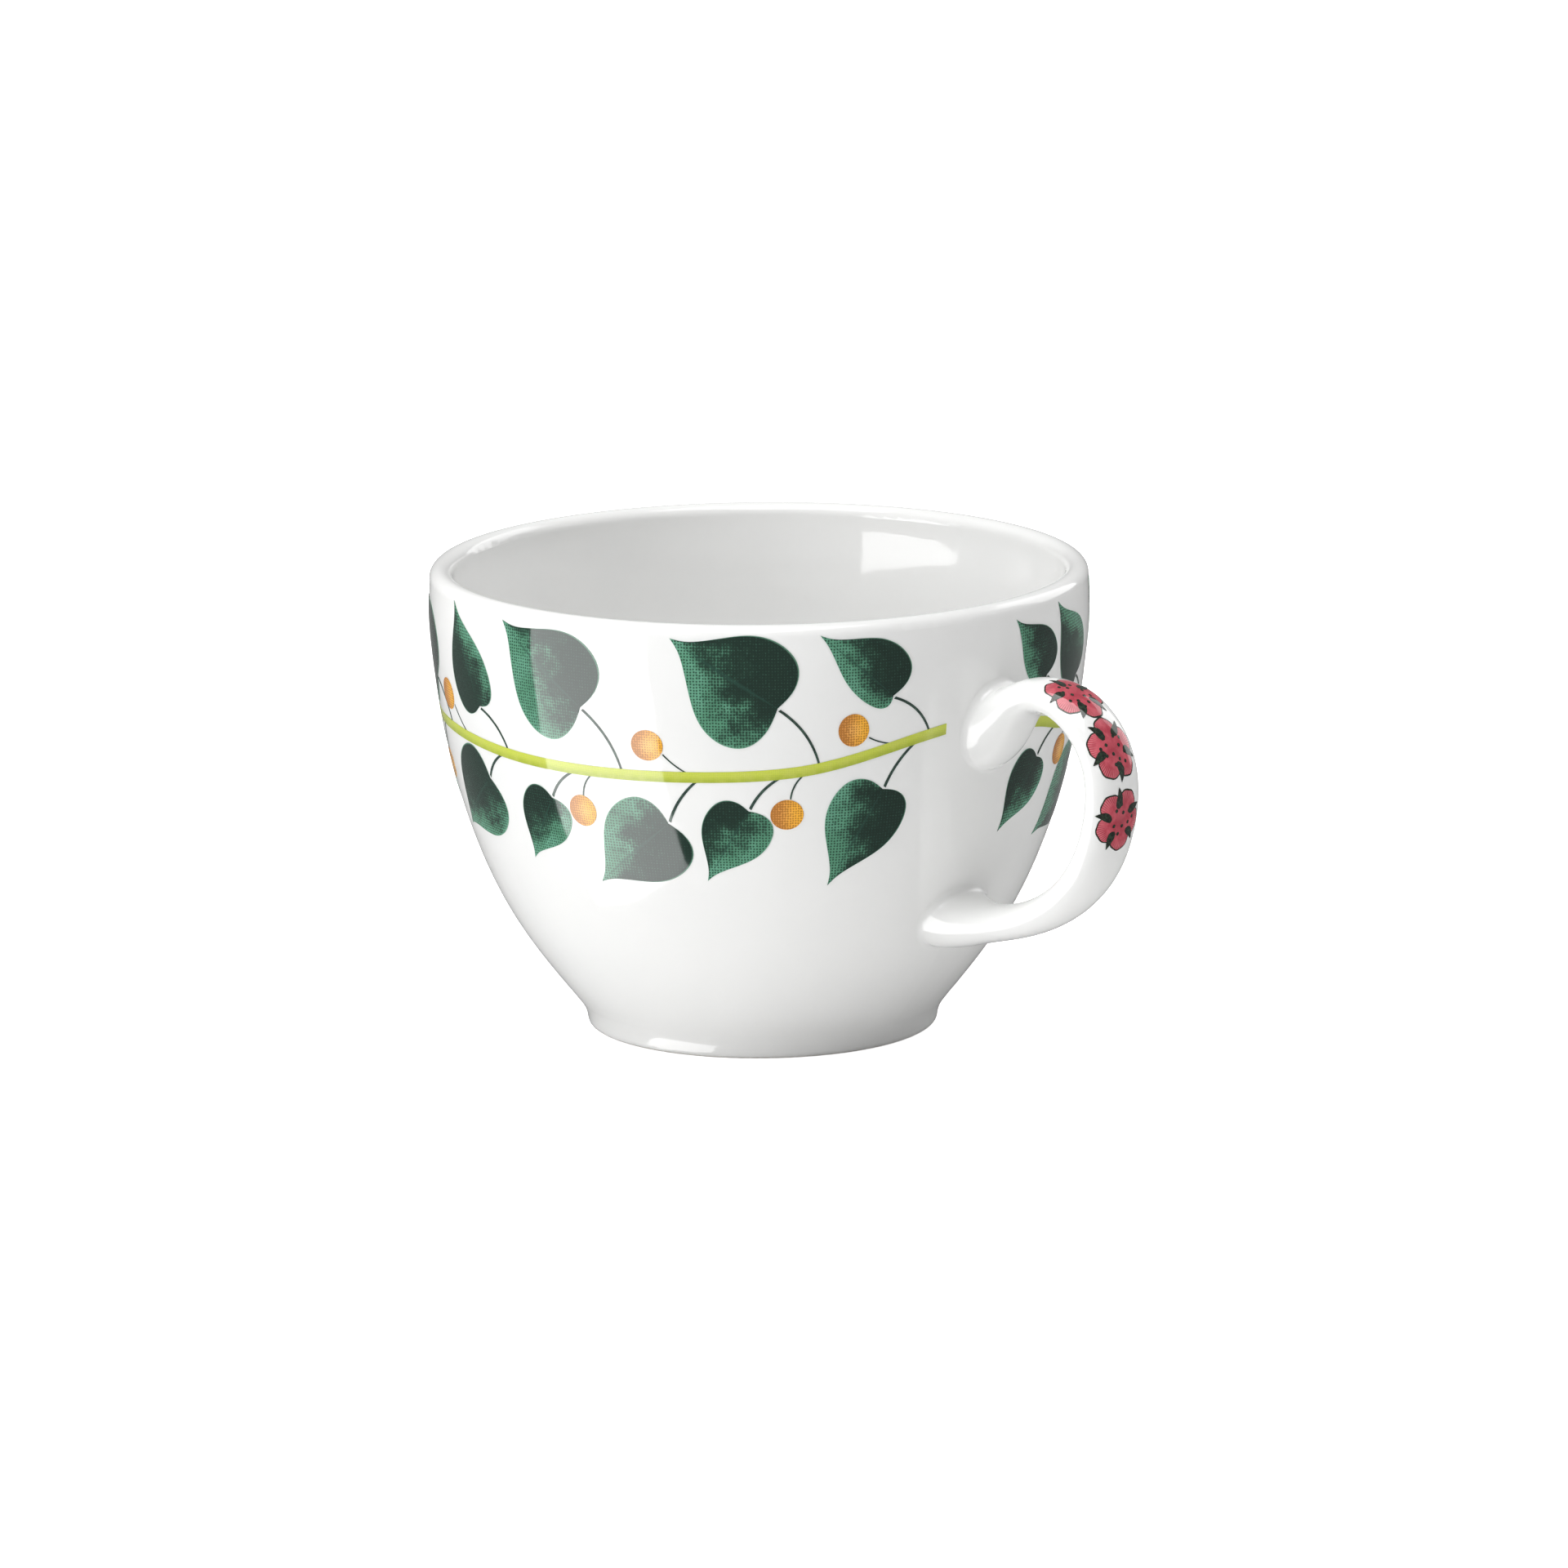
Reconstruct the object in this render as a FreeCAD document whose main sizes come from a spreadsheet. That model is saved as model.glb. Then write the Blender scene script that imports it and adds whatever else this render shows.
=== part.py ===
"""Teacup with a C-shaped handle and a printed leaf garland, built in millimetres.

Frame: +Z up, origin on the cup's axis in the plane it stands on, the handle along +X.
"""

import FreeCAD
import Part
import Sketcher
import math
import os

Vec = FreeCAD.Vector
doc = FreeCAD.newDocument("teacup")

# ---------------------------------------------------------------- driving sizes
SIZES = [
    ("cup_height", 65.5),
    ("rim_radius", 46.0),
    ("lip_radius", 1.6),
    ("floor_level", 6.5),
    ("foot_radius", 24.5),
    ("foot_inner_radius", 21.6),
    ("foot_recess", 2.4),
    ("foot_round", 0.9),
    ("slip_round", 1.0),
    ("slip_bed", 0.4),
    ("print_thick", 0.08),
]
sheet = doc.addObject("Spreadsheet::Sheet", "dims")
VALUE = {}
for row, (alias, number) in enumerate(SIZES, start=1):
    sheet.set("A" + str(row), alias)
    sheet.set("B" + str(row), str(number))
    sheet.setAlias("B" + str(row), alias)
    VALUE[alias] = number
doc.recompute()

NODES = []  # the sub-parts, in the order they are written


def keep(item, name):
    """Names a sub-part and lists it for export."""
    item.Label = name
    item.Placement = FreeCAD.Placement()
    NODES.append(item)


def plane_of(body, role):
    """The origin plane of a body with the given role."""
    return next(item for item in body.Origin.OriginFeatures if item.Role == role)


def sketch_on(body, role, name):
    """A new sketch on one of the body's own origin planes."""
    sketch = body.newObject("Sketcher::SketchObject", name)
    sketch.AttachmentSupport = [(plane_of(body, role), "")]
    sketch.MapMode = "FlatFace"
    return sketch


# ---------------------------------------------------------------- the bowl's outline
LIP = VALUE["lip_radius"]
LIP_LEVEL = VALUE["cup_height"] - LIP
RIM = VALUE["rim_radius"]
# Outer face, (radius, height), from the foot up to the lip.
OUTER = [
    (VALUE["foot_radius"], 0.0), (24.9, 2.2), (26.4, 4.5), (29.9, 8.9), (34.8, 16.0),
    (39.9, 26.8), (43.6, 39.6), (45.6, 52.4), (46.1, 59.5), (RIM, LIP_LEVEL),
    (RIM, LIP_LEVEL + 4),
]
# Inner face, from the lip down to the middle of the well.
INNER = [
    (RIM - 2 * LIP, LIP_LEVEL), (42.05, 58.5), (41.0, 52.0), (39.4, 42.5), (36.9, 32.0),
    (33.4, 23.0), (28.7, 15.5), (22.3, 10.2), (13.5, 7.3), (0.0, VALUE["floor_level"]),
]


def through(stations, start, end):
    """A smooth curve through (radius, height) stations with the end directions given."""
    curve = Part.BSplineCurve()
    points = [Vec(radius, level, 0) for radius, level in stations]
    lengths = [0.0]
    for before, after in zip(points, points[1:]):
        lengths.append(lengths[-1] + before.distanceToPoint(after))
    curve.interpolate(Points=points, Parameters=lengths, InitialTangent=start.normalize(),
                      FinalTangent=end.normalize(), Scale=False)
    return curve


# The outer line runs on past the lip, so that prints can reach up to the edge.
outer_long = through(OUTER, Vec(0.1, 1, 0), Vec(0, 1, 0))
outer_curve = outer_long.copy()
outer_curve.segment(outer_long.FirstParameter, outer_long.parameter(Vec(RIM, LIP_LEVEL, 0)))
inner_curve = through(INNER, Vec(0, -1, 0), Vec(-1, 0, 0))


def raised(by):
    """The outer line moved outward by a distance, keeping its parameters."""
    marks = [outer_long.parameter(Vec(radius, level, 0)) for radius, level in OUTER]
    points = []
    for mark in marks:
        way = outer_long.tangent(mark)[0]
        points.append(outer_long.value(mark) + Vec(way.y, -way.x, 0) * by)
    curve = Part.BSplineCurve()
    curve.interpolate(Points=points, Parameters=marks, Scale=False,
                      InitialTangent=outer_long.getD1(marks[0])[1],
                      FinalTangent=outer_long.getD1(marks[-1])[1])
    return curve


def upright(shape):
    """Turns a shape drawn in the XY plane up into the XZ plane."""
    shape.rotate(Vec(0, 0, 0), Vec(1, 0, 0), 90)
    return shape


# ---------------------------------------------------------------- bowl, lip and foot
bowl = doc.addObject("PartDesign::Body", "cup_bowl")
section = sketch_on(bowl, "XZ_Plane", "bowl_section")
lip_arc = Part.Arc(Vec(RIM, LIP_LEVEL, 0), Vec(RIM - LIP, LIP_LEVEL + LIP, 0),
                   Vec(RIM - 2 * LIP, LIP_LEVEL, 0))
axis_line = Part.LineSegment(Vec(0, VALUE["floor_level"], 0), Vec(0, 0, 0))
base_line = Part.LineSegment(Vec(0, 0, 0), Vec(VALUE["foot_radius"], 0, 0))
section.addGeometry([outer_curve, lip_arc, inner_curve, axis_line, base_line], False)
turned = bowl.newObject("PartDesign::Revolution", "turned_bowl")
turned.Profile = section
turned.ReferenceAxis = (section, ["V_Axis"])
turned.Angle = 360
doc.recompute()

recess = sketch_on(bowl, "XY_Plane", "foot_recess")
recess.addGeometry(Part.Circle(Vec(0, 0, 0), Vec(0, 0, 1), 20), False)
recess.addConstraint(Sketcher.Constraint("Coincident", 0, 3, -1, 1))
recess.addConstraint(Sketcher.Constraint("Radius", 0, 20))
recess.setExpression("Constraints[1]", "dims.foot_inner_radius")
hollow = bowl.newObject("PartDesign::Pocket", "foot_hollow")
hollow.Profile = recess
hollow.setExpression("Length", "dims.foot_recess")
hollow.Reversed = True
doc.recompute()


def rings(shape, radius, level):
    """Names of the circular edges of a shape at a radius and a height."""
    names = []
    for number, edge in enumerate(shape.Edges, start=1):
        box = edge.BoundBox
        if abs(box.ZMax - level) < 0.01 and abs(box.XMax - radius) < 0.01:
            names.append("Edge" + str(number))
    return names


worn = bowl.newObject("PartDesign::Fillet", "foot_rounding")
foot_edges = rings(hollow.Shape, VALUE["foot_radius"], 0) + rings(
    hollow.Shape, VALUE["foot_inner_radius"], 0)
worn.Base = (hollow, foot_edges)
worn.setExpression("Radius", "dims.foot_round")
bowl.Tip = worn
doc.recompute()
keep(bowl, "cup_bowl")


def filled(curve, name):
    """The turned solid inside an outer line, its seam away from the handle."""
    foot, top = curve.StartPoint, curve.EndPoint
    corners = [top, Vec(0, top.y, 0), Vec(0, foot.y, 0), foot]
    sides = [Part.LineSegment(*ends).toShape() for ends in zip(corners, corners[1:])]
    face = upright(Part.Face(Part.Wire([curve.toShape()] + sides)))
    face.rotate(Vec(0, 0, 0), Vec(0, 0, 1), 180)
    item = doc.addObject("Part::Feature", name)
    item.Shape = face.revolve(Vec(0, 0, 0), Vec(0, 0, 1), 360)
    return item


# The bowl without its hollow trims what sits on the outer face; the raised one leaves
# room for the bed of slip under each end of the handle.
blank = filled(outer_curve, "bowl_blank")
slip_bed = filled(raised(VALUE["slip_bed"]), "slip_bed")

# ---------------------------------------------------------------- handle
# Sections from the upper joint round to the lower one:
# reach, level, direction of travel in degrees, thickness, width.
HANDLE = [
    (42.6, 48.0, 0, 11.4, 12.2),
    (45.4, 48.5, 10, 10.4, 11.4),
    (47.8, 50.6, 32, 7.4, 9.9),
    (50.8, 53.0, 26, 5.3, 9.2),
    (55.3, 54.2, 4, 4.7, 9.0),
    (61.8, 52.0, -37, 5.1, 9.1),
    (66.0, 46.4, -72, 5.3, 9.1),
    (66.3, 38.6, -101, 5.4, 9.1),
    (63.3, 31.2, -124, 5.4, 9.1),
    (57.0, 25.1, -147, 5.1, 9.1),
    (49.2, 21.7, -162, 4.9, 9.1),
    (43.4, 20.5, -172, 5.6, 9.8),
    (39.6, 20.3, -185, 7.6, 11.2),
    (37.0, 20.7, -199, 9.8, 12.4),
    (34.6, 21.7, -206, 10.8, 13.0),
]


def oval(name, reach, level, heading, thick, width):
    """One oval section of the handle, square to its direction of travel."""
    ring = doc.addObject("Part::Ellipse", name)
    ring.MajorRadius = max(width, thick) / 2
    ring.MinorRadius = min(width, thick) / 2
    # The ellipse's long axis lies across the handle, along Y.
    upend = FreeCAD.Rotation(Vec(0, 1, 0), Vec(0, 0, 1), Vec(1, 0, 0), "ZXY")
    turn = FreeCAD.Rotation(Vec(0, 1, 0), -heading)
    ring.Placement = FreeCAD.Placement(Vec(reach, 0, level), turn.multiply(upend))
    return ring


ovals = [oval("oval_" + str(number), *numbers) for number, numbers in enumerate(HANDLE)]
arm = doc.addObject("Part::Loft", "arm")
arm.Sections = ovals
arm.Solid = True
doc.recompute()

handle = doc.addObject("Part::Cut", "handle")
handle.Base = arm
handle.Tool = slip_bed
doc.recompute()
keep(handle, "handle")

# ---------------------------------------------------------------- luting slip joints
joined = doc.addObject("Part::Fuse", "joined")
joined.Base = blank
joined.Tool = arm
doc.recompute()


def seams(shape):
    """Numbers of the edges where the handle's ends meet the bowl."""
    found = []
    for number, edge in enumerate(shape.Edges, start=1):
        box = edge.BoundBox
        if box.XMin > 30 and box.YMin < -3 and box.YMax > 3:
            found.append(number)
    return found


SLIP = VALUE["slip_round"]
smoothed = doc.addObject("Part::Fillet", "smoothed")
smoothed.Base = joined
smoothed.Edges = [(number, SLIP, SLIP) for number in seams(joined.Shape)]
doc.recompute()
slip_both = smoothed.Shape.cut(blank.Shape).cut(handle.Shape)
slip_solids = sorted(slip_both.Solids, key=lambda solid: -solid.CenterOfMass.z)
for name, solid in zip(["upper_slip_joint", "lower_slip_joint"], slip_solids):
    slip = doc.addObject("Part::Feature", name)
    slip.Shape = solid
    keep(slip, name)

# ---------------------------------------------------------------- prints on the outer face
# A patch of print is drawn in (angle, place along the outline) on the outer face and
# again on a face raised by the print's thickness, and the two are walled together.
# Places are (turn, rise): degrees round the axis from the handle, and millimetres up
# the outer face from the foot.
THIN = VALUE["print_thick"]
TURNED = []
for curve in (outer_long.copy(), raised(THIN)):
    curve.rotate(FreeCAD.Placement(Vec(0, 0, 0), Vec(1, 0, 0), 90))
    TURNED.append(Part.SurfaceOfRevolution(curve, Vec(0, 0, 0), Vec(0, 0, 1)))
RISE_START = outer_long.FirstParameter
RISE_TOP = outer_long.length()


def place_at(rise):
    """The outer line's own parameter at a rise, and its radius there."""
    spot = outer_long.parameterAtDistance(min(rise, RISE_TOP), RISE_START)
    return spot, outer_long.value(spot).x


def on_face(spots, radius, rise):
    """A line on the outer face through flat spots in millimetres about (0, rise)."""
    flat = Part.Geom2d.BSplineCurve2d()
    flat.interpolate([FreeCAD.Base.Vector2d(across, upward) for across, upward in spots])
    for number in range(1, flat.NbPoles + 1):
        pole = flat.getPole(number)
        spot = place_at(rise + pole.y)[0]
        flat.setPole(number, FreeCAD.Base.Vector2d(math.pi + pole.x / radius, spot))
    return flat


def patch(lines):
    """A thin solid of print inside a closed set of lines, given in order."""
    faces, rims = [], []
    for surface in TURNED:
        edges = [line.toShape(surface) for line in lines]
        face = Part.Face(surface, Part.Wire(Part.sortEdges(edges)[0]))
        face.validate()
        faces.append(face)
        rims.append(edges)
    walls = [Part.makeRuledSurface(low, high) for low, high in zip(*rims)]
    shell = Part.Compound(faces + walls)
    shell.sewShape(0.001)
    solid = Part.Solid(Part.Shell(shell.Faces))
    if solid.Volume < 0:
        solid.reverse()
    return solid


def swung(solid, turn):
    """A patch drawn opposite the seam, swung round to its place."""
    solid.rotate(Vec(0, 0, 0), Vec(0, 0, 1), turn - 180)
    return solid


def group(name, solids):
    """A node holding separate patches of print."""
    item = doc.addObject("Part::Feature", name)
    item.Shape = Part.Compound(solids)
    keep(item, name)


# ---------------------------------------------------------------- leaf prints
# One side of a plain heart-shaped leaf, from the stalk to the tip: share of the
# length, share of that side's width.
HEART = [
    (0.0, 0.0), (-0.03, 0.42), (0.05, 0.85), (0.22, 1.0), (0.43, 0.92), (0.62, 0.62),
    (0.79, 0.27), (0.91, 0.08), (1.0, 0.0),
]
# Leaves round the bowl: turn and rise of the stalk end, the way the tip points in
# degrees from sideways, length, and the widths of the two sides.
UPPER_LEAVES = [
    (-103.8, 55.4, 114, 15.2, 5.6, 4.8), (-78.0, 58.2, 143, 17.5, 8.4, 7.7),
    (-42.6, 59.3, 147, 17.6, 8.6, 7.7), (-22.3, 60.2, 139, 13.8, 3.2, 5.8),
    (14.1, 59.0, 131, 12.0, 3.4, 4.8), (28.6, 56.9, 126, 14.6, 5.0, 5.4),
    (58.0, 58.6, 144, 17.5, 8.4, 7.6), (82.0, 55.6, 120, 14.6, 5.6, 4.8),
    (111.0, 58.8, 147, 17.5, 8.4, 7.6), (131.0, 59.0, 136, 13.6, 3.4, 5.4),
    (164.0, 58.9, 145, 17.5, 8.4, 7.6), (186.0, 55.4, 118, 14.6, 5.6, 4.8),
    (207.0, 58.8, 139, 13.6, 3.2, 5.6), (235.0, 56.6, 144, 17.4, 7.6, 7.4),
]
LOWER_LEAVES = [
    (-104.2, 44.9, 216, 16.0, 6.8, 6.8), (-86.6, 44.2, 238, 11.9, 4.4, 4.4),
    (-62.6, 42.2, 221, 15.3, 6.6, 6.6), (-47.8, 44.4, 241, 12.4, 4.8, 4.7),
    (-23.4, 46.8, 244, 15.8, 5.2, 5.8), (14.0, 47.2, 237, 11.9, 4.4, 4.4),
    (37.0, 42.8, 214, 14.8, 6.3, 6.3), (54.0, 44.2, 241, 11.9, 4.4, 4.4),
    (79.0, 42.2, 221, 14.8, 6.3, 6.3), (95.0, 44.2, 239, 11.9, 4.4, 4.4),
    (119.0, 45.5, 244, 15.0, 4.8, 5.0), (138.0, 44.6, 241, 11.9, 4.4, 4.4),
    (162.0, 43.0, 218, 14.8, 6.3, 6.3), (178.0, 45.4, 241, 11.9, 4.4, 4.4),
    (204.0, 46.0, 244, 15.0, 4.8, 5.0), (225.0, 44.2, 241, 11.9, 4.4, 4.4),
]


def leaf_print(turn, rise, heading, length, left_wide, right_wide):
    """One leaf of the transfer, growing from its stalk end."""
    swing = math.radians(heading)
    radius = place_at(rise + length * math.sin(swing) / 2)[1]
    edges = []
    for wide in (-left_wide, right_wide):
        spots = []
        for along, aside in HEART:
            ahead, over = length * along, -wide * aside
            spots.append((ahead * math.cos(swing) - over * math.sin(swing),
                          ahead * math.sin(swing) + over * math.cos(swing)))
        edges.append(on_face(spots, radius, rise))
    return swung(patch(edges), turn)


# The branch's middle line, (turn, rise), from just past the handle all the way round.
BRANCH = [
    (9.0, 52.9), (14.0, 52.3), (20.0, 51.2), (34.0, 49.9), (55.0, 49.2), (80.0, 49.6),
    (105.0, 50.8), (130.0, 51.4), (155.0, 50.4), (180.0, 49.4), (205.0, 49.6),
    (230.0, 50.6), (244.0, 50.4), (264.0, 49.5), (284.0, 49.1), (304.0, 49.3),
    (314.0, 49.6), (324.0, 50.4), (334.0, 52.1), (344.0, 53.9), (348.5, 54.5),
]
BRANCH_RADIUS = 45.4
BRANCH_HALF = 0.78


def branch_rise(turn):
    """Height of the branch's middle line at a turn."""
    turn = turn % 360
    for (left, low), (right, high) in zip(BRANCH, BRANCH[1:]):
        if left <= turn <= right:
            share = (turn - left) / (right - left)
            return low + (high - low) * share
    return 54.0


def branch_side(offset):
    """The branch's middle line moved up or down, as flat spots."""
    return [((math.radians(turn) - math.pi) * BRANCH_RADIUS, rise + offset)
            for turn, rise in BRANCH]


branch_top = branch_side(BRANCH_HALF)
branch_foot = branch_side(-BRANCH_HALF)
branch_edges = [on_face(branch_top, BRANCH_RADIUS, 0), on_face(branch_foot, BRANCH_RADIUS, 0)]
for upper, lower in ((branch_top[0], branch_foot[0]), (branch_top[-1], branch_foot[-1])):
    branch_edges.append(on_face([upper, lower], BRANCH_RADIUS, 0))
branch = patch(branch_edges)


def stalk(turn, rise, reach, bow, start_half, end_half):
    """A stalk from a leaf or berry to the branch, reaching round by some degrees."""
    radius = place_at(rise)[1]
    target = branch_rise(turn + reach)
    target += BRANCH_HALF if rise > target else -BRANCH_HALF
    far = (math.radians(reach) * radius, target - rise)
    length = math.hypot(*far)
    square = (-far[1] / length, far[0] / length)
    near_side, far_side = [], []
    for share in (0.0, 0.35, 0.7, 1.0):
        middle = 4 * bow * share * (1 - share)
        half = start_half + (end_half - start_half) * share
        spot = (far[0] * share + square[0] * middle, far[1] * share + square[1] * middle)
        near_side.append((spot[0] + square[0] * half, spot[1] + square[1] * half))
        far_side.append((spot[0] - square[0] * half, spot[1] - square[1] * half))
    sides = [near_side, [near_side[-1], far_side[-1]], far_side, [far_side[0], near_side[0]]]
    return swung(patch([on_face(side, radius, rise) for side in sides]), turn)


BERRY = 2.25
UPPER_BERRIES = [
    (-117.5, 55.2), (-65.6, 53.6), (-29.3, 55.7), (70.5, 53.6), (124.0, 55.7),
    (176.0, 53.6), (200.0, 55.7),
]
LOWER_BERRIES = [
    (-79.8, 43.0), (-40.9, 43.8), (24.2, 46.7), (61.0, 43.2), (102.0, 43.6),
    (145.0, 43.4), (185.0, 44.0), (232.5, 43.6),
]


def berry(turn, rise):
    """A round berry."""
    radius = place_at(rise)[1]
    edges = []
    for start in (0, 180):
        spots = []
        for step in range(0, 181, 20):
            angle = math.radians(start + step)
            spots.append((BERRY * math.cos(angle), BERRY * math.sin(angle)))
        edges.append(on_face(spots, radius, rise))
    return swung(patch(edges), turn)


stalks = []
for leaf in UPPER_LEAVES:
    stalks.append(stalk(leaf[0] + 0.3, leaf[1] - 0.3, 7.0, 0.9, 0.2, 0.17))
for leaf in LOWER_LEAVES:
    stalks.append(stalk(leaf[0] + 0.3, leaf[1] + 0.3, 5.5, 0.5, 0.21, 0.18))
for turn, rise in UPPER_BERRIES:
    stalks.append(stalk(turn + 2.8, rise - 1.2, 4.5, -0.2, 0.1, 0.1))
for turn, rise in LOWER_BERRIES:
    stalks.append(stalk(turn + 0.6, rise + 2.3, 2.4, 0.4, 0.12, 0.12))

# ---------------------------------------------------------------- flowers on the handle
arm_side = max(arm.Shape.Faces, key=lambda face: face.Area)
# Spine reach and level, direction of travel, for each flower's middle.
FLOWERS = [(60.1, 53.0, -31), (65.4, 47.7, -65), (66.4, 39.3, -98)]
FLOWER = 3.9


def flower(reach, level, heading):
    """A five-petalled flower on the outer side of the handle, a little to its right."""
    slope = math.radians(heading)
    outward = Vec(-math.sin(slope), 0, math.cos(slope))
    middle = Vec(reach, 0, level) + outward * 2.55 + Vec(0, -0.9, 0)
    surface = arm_side.Surface
    first, second = surface.parameter(middle)
    step = 0.001
    here = surface.value(first, second)
    across = (surface.value(first + step, second) - here) * (1 / step)
    along = (surface.value(first, second + step) - here) * (1 / step)
    edges = []
    for start in (0, 180):
        flat = Part.Geom2d.BSplineCurve2d()
        spots = []
        for turn in range(start, start + 181, 9):
            angle = math.radians(turn)
            petal = FLOWER * (0.72 + 0.28 * abs(math.cos(2.5 * angle)) ** 0.7)
            spots.append(FreeCAD.Base.Vector2d(petal * math.cos(angle), petal * math.sin(angle)))
        flat.interpolate(spots)
        for number in range(1, flat.NbPoles + 1):
            pole = flat.getPole(number)
            flat.setPole(number, FreeCAD.Base.Vector2d(
                first + pole.x / across.Length, second + pole.y / along.Length))
        edges.append(flat.toShape(surface))
    face = Part.Face(surface, Part.Wire(edges))
    face.validate()
    return face.makeOffsetShape(THIN, 0.001, fill=True)


group("branch_print", [branch])
group("upper_leaf_prints", [leaf_print(*leaf) for leaf in UPPER_LEAVES])
group("lower_leaf_prints", [leaf_print(*leaf) for leaf in LOWER_LEAVES])
group("stalk_prints", stalks)
group("berry_prints", [berry(*place) for place in UPPER_BERRIES + LOWER_BERRIES])
group("flower_prints", [flower(*place) for place in FLOWERS])

# ---------------------------------------------------------------- checks and export
doc.recompute()
for item in doc.Objects:
    if "Invalid" in item.State or "Error" in item.State:
        raise RuntimeError(item.Name + " failed")
os.makedirs("parts", exist_ok=True)
for item in NODES:
    shape = item.Shape
    if shape.isNull() or not shape.isValid() or shape.Volume <= 0:
        raise RuntimeError(item.Label + " is not a sound solid")
    print(item.Label, len(shape.Solids), "solids", round(shape.Volume, 2), "mm3")
    shape.exportStep("parts/" + item.Label + ".step")
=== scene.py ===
"""White glazed teacup with a printed garland of leaves, berries and flowers."""
import math

import bpy
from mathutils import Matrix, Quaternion, Vector


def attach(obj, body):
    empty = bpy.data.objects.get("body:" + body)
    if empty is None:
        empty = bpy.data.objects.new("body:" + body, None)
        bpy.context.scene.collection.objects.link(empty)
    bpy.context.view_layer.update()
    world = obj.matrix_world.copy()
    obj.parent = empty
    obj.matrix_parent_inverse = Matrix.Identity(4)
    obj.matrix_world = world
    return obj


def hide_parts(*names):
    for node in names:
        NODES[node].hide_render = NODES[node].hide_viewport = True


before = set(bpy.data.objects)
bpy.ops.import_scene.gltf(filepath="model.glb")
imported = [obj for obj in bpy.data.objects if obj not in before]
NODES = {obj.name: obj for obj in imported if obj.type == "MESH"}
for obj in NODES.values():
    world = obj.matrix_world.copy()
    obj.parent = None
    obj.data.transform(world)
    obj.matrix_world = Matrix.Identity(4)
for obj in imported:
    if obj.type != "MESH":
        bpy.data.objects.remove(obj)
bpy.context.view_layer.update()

MM = 0.001
FILM = 0.04  # thickness of a print, in millimetres
WELD = 0.002  # points of a print closer than this are one, in millimetres
# How far the top of each print stands off the glaze, in millimetres.
LIFT = {"stalk": 0.045, "leaf": 0.055, "berry": 0.06, "branch": 0.065,
        "petal_edge": 0.035, "petal": 0.055, "speck": 0.07, "sepal": 0.075}
bpy.ops.object.select_all(action="DESELECT")
scene = bpy.context.scene

# ------------------------------------------------------------------ the cup's own lines
# Outer face of the bowl, (radius, height) in millimetres, from the foot past the lip.
OUTER = [
    (24.5, 0.0), (24.9, 2.2), (26.4, 4.5), (29.9, 8.9), (34.8, 16.0), (39.9, 26.8),
    (43.6, 39.6), (45.6, 52.4), (46.1, 59.5), (46.0, 63.9), (46.0, 67.9),
]
# Spine of the handle: reach, level, direction of travel in degrees, thickness, width.
SPINE = [
    (50.8, 53.0, 26, 5.3, 9.2), (55.3, 54.2, 4, 4.7, 9.0), (61.8, 52.0, -37, 5.1, 9.1),
    (66.0, 46.4, -72, 5.3, 9.1), (66.3, 38.6, -101, 5.4, 9.1), (63.3, 31.2, -124, 5.4, 9.1),
    (57.0, 25.1, -147, 5.1, 9.1),
]


def smooth_line(marks, rows, start=None, end=None):
    """The smooth curve through rows of numbers at the marks given, as a function."""
    last = len(marks) - 1
    gaps = [after - before for before, after in zip(marks, marks[1:])]
    slopes = []
    for column in range(len(rows[0])):
        rise = [(rows[i + 1][column] - rows[i][column]) / gaps[i] for i in range(last)]
        low, mid, high, right = [0.0], [2.0], [1.0], [3 * rise[0]]
        if start:
            mid, high, right = [1.0], [0.0], [start[column]]
        for i in range(1, last):
            low.append(1 / gaps[i - 1])
            mid.append(2 / gaps[i - 1] + 2 / gaps[i])
            high.append(1 / gaps[i])
            right.append(3 * rise[i - 1] / gaps[i - 1] + 3 * rise[i] / gaps[i])
        low.append(0.0 if end else 1.0)
        mid.append(1.0 if end else 2.0)
        right.append(end[column] if end else 3 * rise[-1])
        for i in range(1, last + 1):
            share = low[i] / mid[i - 1]
            mid[i] -= share * high[i - 1]
            right[i] -= share * right[i - 1]
        found = [right[last] / mid[last]]
        for i in range(last - 1, -1, -1):
            found.insert(0, (right[i] - high[i] * found[0]) / mid[i])
        slopes.append(found)

    def at(mark):
        i = max(0, min(last - 1, sum(1 for step in marks if step <= mark) - 1))
        gap = gaps[i]
        s = (mark - marks[i]) / gap
        numbers = []
        for column, slope in enumerate(slopes):
            numbers.append(rows[i][column] * (1 + 2 * s) * (1 - s) ** 2
                           + gap * slope[i] * s * (1 - s) ** 2
                           + rows[i + 1][column] * s * s * (3 - 2 * s)
                           + gap * slope[i + 1] * s * s * (s - 1))
        return numbers
    return at


def chord_marks(points):
    """Distances along a chain of points."""
    marks = [0.0]
    for before, after in zip(points, points[1:]):
        marks.append(marks[-1] + math.dist(before[:2], after[:2]))
    return marks


outer_marks = chord_marks(OUTER)
outer_line = smooth_line(outer_marks, OUTER, (0.0995, 0.995), (0.0, 1.0))
STEP = 0.2
WALL = [outer_line(STEP * i) for i in range(int(outer_marks[-1] / STEP) + 1)]
WALL_RISE = chord_marks(WALL)
spine_marks = chord_marks(SPINE)
spine_line = smooth_line(spine_marks, SPINE)


def wall_at(rise):
    """Radius, height and outward slope of the bowl's outer face at a distance up it."""
    i = max(0, min(len(WALL) - 2, sum(1 for step in WALL_RISE if step <= rise) - 1))
    share = (rise - WALL_RISE[i]) / (WALL_RISE[i + 1] - WALL_RISE[i])
    before, after = Vector(WALL[i]), Vector(WALL[i + 1])
    way = (after - before).normalized()
    spot = before.lerp(after, share)
    return spot.x, spot.y, Vector((way.y, -way.x))


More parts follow.
